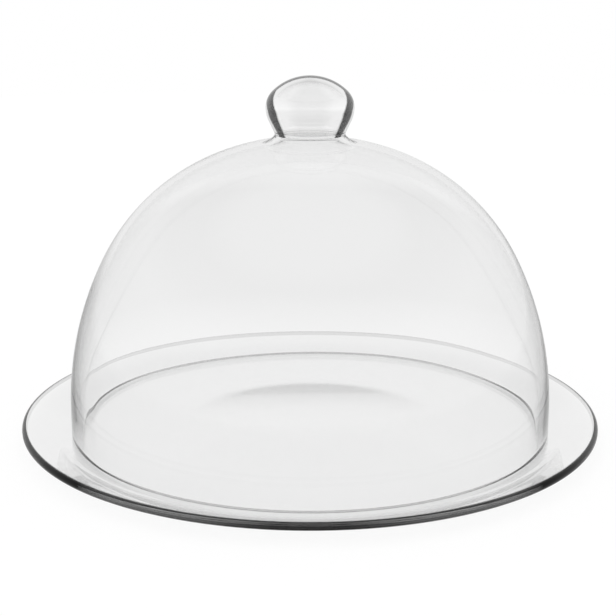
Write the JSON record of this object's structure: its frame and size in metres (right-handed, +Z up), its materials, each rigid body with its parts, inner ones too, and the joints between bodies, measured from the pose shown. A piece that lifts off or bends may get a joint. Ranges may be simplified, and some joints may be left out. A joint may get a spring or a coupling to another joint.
{
  "type": "buffet food cover dome",
  "caption": "Clear glass food cover: a tall round dome blown in one with its hollow knob, standing on a round glass plate with a raised brim.",
  "frame": {"origin": "middle of the plate's flat underside, on the axis of the dome", "axes": "+Z up along the axis of dome, knob and plate; X and Y are level and alike"},
  "size_m": [0.3188, 0.3188, 0.1989],
  "materials": {
    "plate_glass": "clear pressed glass, fire polished",
    "dome_glass": "clear blown glass, fire polished, with a rounded foot",
    "knob_glass": "clear blown glass, fire polished"
  },
  "bodies": {
    "plate": {"serving_plate": "plate_glass"},
    "cover": {"dome_bell": "dome_glass", "knob": "knob_glass"}
  },
  "joints": [
    {"name": "dome_lift", "type": "slide", "parent": "plate", "child": "cover", "axis": [0, 0, 1], "range_m": [0, 0.22]}
  ]
}
